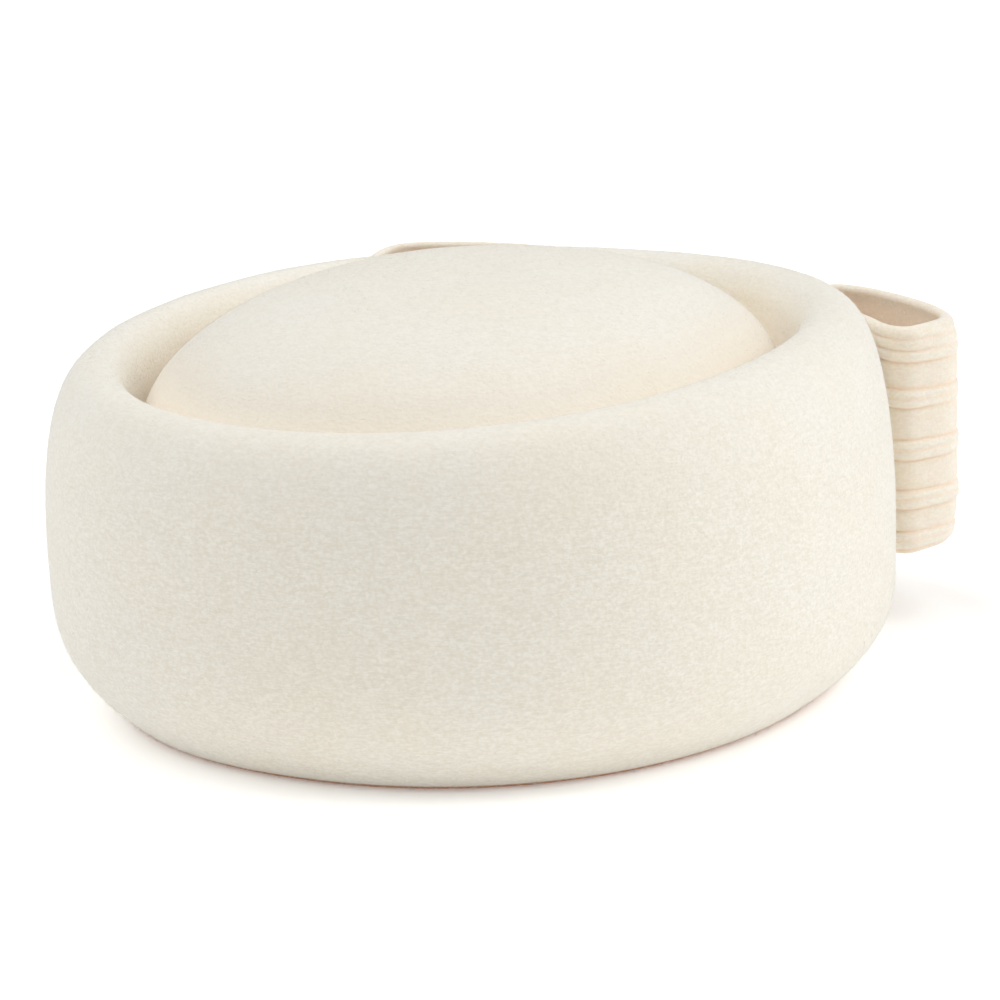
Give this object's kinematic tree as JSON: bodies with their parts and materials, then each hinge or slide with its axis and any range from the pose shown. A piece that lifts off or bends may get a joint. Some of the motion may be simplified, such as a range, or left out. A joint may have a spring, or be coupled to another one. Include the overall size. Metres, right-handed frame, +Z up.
{
  "type": "pillbox hat",
  "caption": "Brimless oval felt hat with a drawn-in rim, a rolled edge, a groove and a low domed crown, hollow below for the head, and a pin-tucked felt bow at the back of its wall.",
  "frame": {"origin": "middle of the bottom of the whole hat's box, bow included, on the surface that the rim rests on", "axes": "+Z up, the front of the hat faces -Y, the bow is at the +Y end"},
  "size_m": [0.2, 0.2322, 0.1029],
  "materials": {
    "wool_felt": "matt blocked wool felt",
    "bow_felt": "matt soft wool felt"
  },
  "bodies": {
    "root": {"felt_cap": "wool_felt", "bow_loop_right": "bow_felt", "bow_loop_left": "bow_felt", "bow_knot": "bow_felt"}
  },
  "joints": []
}
